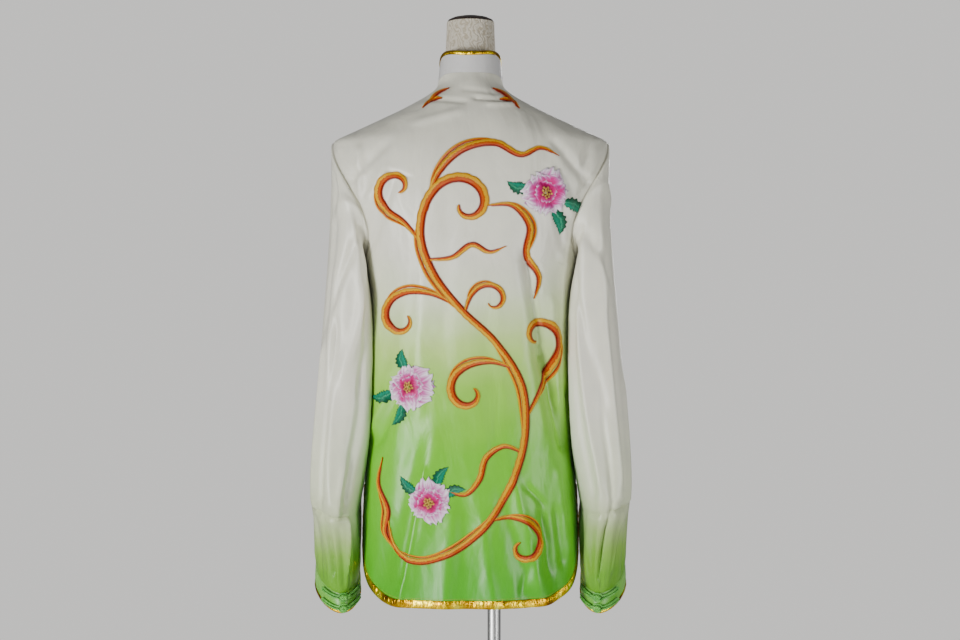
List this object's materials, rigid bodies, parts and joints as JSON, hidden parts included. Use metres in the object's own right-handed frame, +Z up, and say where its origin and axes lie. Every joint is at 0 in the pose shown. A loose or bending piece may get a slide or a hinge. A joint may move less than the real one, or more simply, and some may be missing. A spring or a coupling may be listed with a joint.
{
  "type": "tai chi jacket on a limbless dress form with a stand",
  "caption": "Long-sleeved tai chi jacket with stand collar, gathered sleeves, knot-fastened cuffs and bound hem, on a limbless dress form with a pole stand.",
  "frame": {"origin": "on the floor, at the centre of the jacket and base seen from above", "axes": "+Z up, the jacket's front faces -Y, the wearer's left is +X"},
  "size_m": [0.4466, 0.38, 1.4999],
  "materials": {
    "satin_body": "satin cloth that fades from white at the shoulders to green at the hem",
    "satin_sleeves": "satin cloth, white, green towards the cuffs",
    "satin_cuffs": "green satin",
    "satin_collar": "white satin",
    "gold_binding": "gold lame tape",
    "green_cord": "green satin cord",
    "form_cover": "cream patterned cloth over a smooth form",
    "form_cap": "dark, polished",
    "stand_metal": "satin steel"
  },
  "bodies": {
    "root": {"back_panel": "satin_body", "collar": "satin_collar", "collar_binding": "gold_binding", "cuff_binding_left": "gold_binding", "cuff_binding_right": "gold_binding", "cuff_knot_left_1": "green_cord", "cuff_knot_left_2": "green_cord", "cuff_knot_right_1": "green_cord", "cuff_knot_right_2": "green_cord", "cuff_left": "satin_cuffs", "cuff_loop_left_1": "green_cord", "cuff_loop_left_2": "green_cord", "cuff_loop_right_1": "green_cord", "cuff_loop_right_2": "green_cord", "cuff_right": "satin_cuffs", "form_cap": "form_cap", "form_neck": "form_cover", "form_torso": "form_cover", "front_knot_1": "green_cord", "front_knot_2": "green_cord", "front_knot_3": "green_cord", "front_knot_4": "green_cord", "front_knot_5": "green_cord", "front_knot_6": "green_cord", "front_knot_7": "green_cord", "front_left": "satin_body", "front_loop_1": "green_cord", "front_loop_2": "green_cord", "front_loop_3": "green_cord", "front_loop_4": "green_cord", "front_loop_5": "green_cord", "front_loop_6": "green_cord", "front_loop_7": "green_cord", "front_right": "satin_body", "hem_binding_back": "gold_binding", "hem_binding_front_left": "gold_binding", "hem_binding_front_right": "gold_binding", "sleeve_left": "satin_sleeves", "sleeve_right": "satin_sleeves", "stand_base": "stand_metal", "stand_flange": "stand_metal", "stand_pole": "stand_metal", "stand_socket": "stand_metal"}
  },
  "joints": []
}
